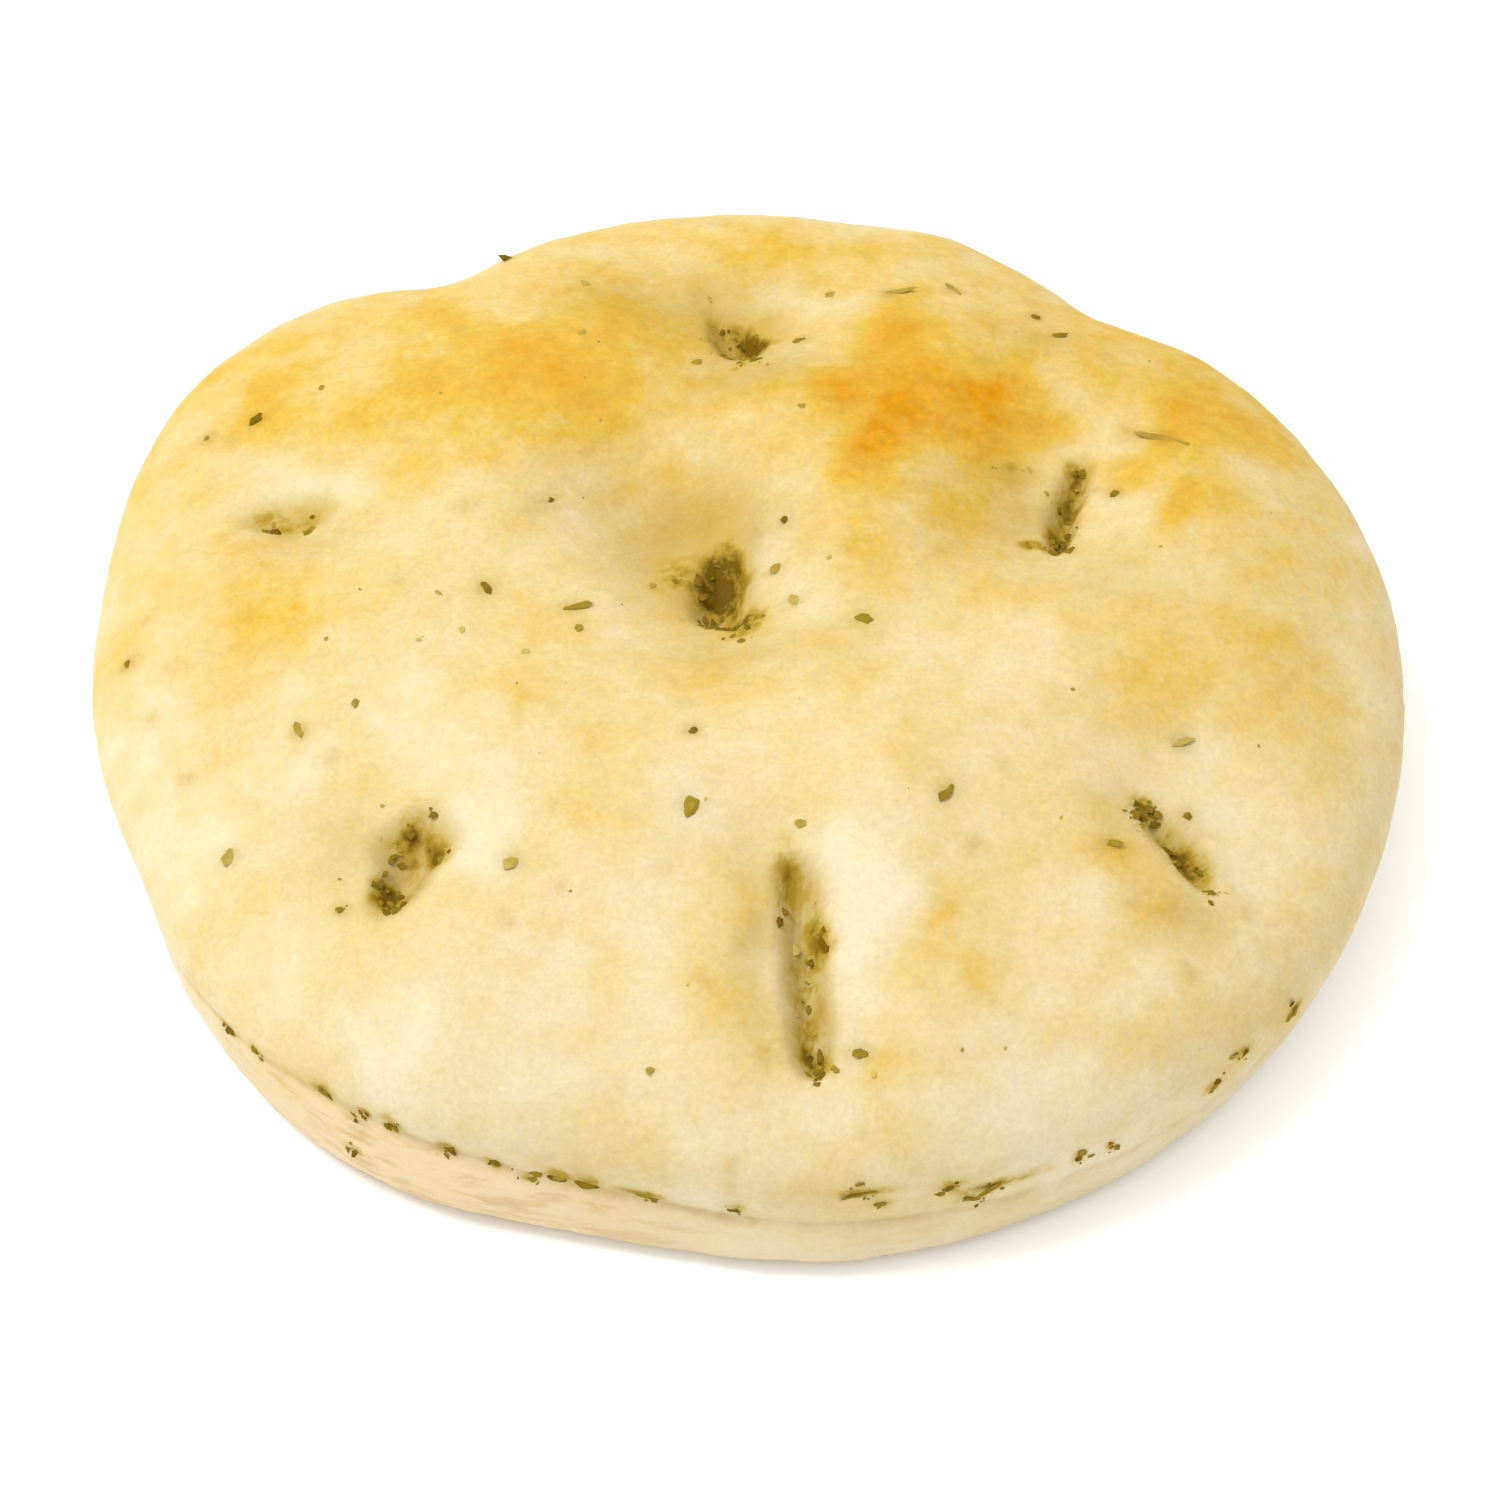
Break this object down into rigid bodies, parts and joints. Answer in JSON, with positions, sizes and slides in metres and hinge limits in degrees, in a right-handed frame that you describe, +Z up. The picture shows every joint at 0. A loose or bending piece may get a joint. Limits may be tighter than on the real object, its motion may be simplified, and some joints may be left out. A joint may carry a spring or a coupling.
{
  "type": "focaccia",
  "caption": "Round flat loaf of focaccia with finger dimples, a creased edge and dried rosemary baked onto its crust.",
  "frame": {"origin": "middle of the loaf's bounding box, on the table that its flat underside lies on", "axes": "+Z up from the table, -Y towards the front with the creased edge, +X to the right seen from the front"},
  "size_m": [0.1556, 0.1524, 0.033],
  "materials": {
    "crust": "matte baked crust, pale gold"
  },
  "bodies": {
    "root": {"focaccia": "crust"}
  },
  "joints": []
}
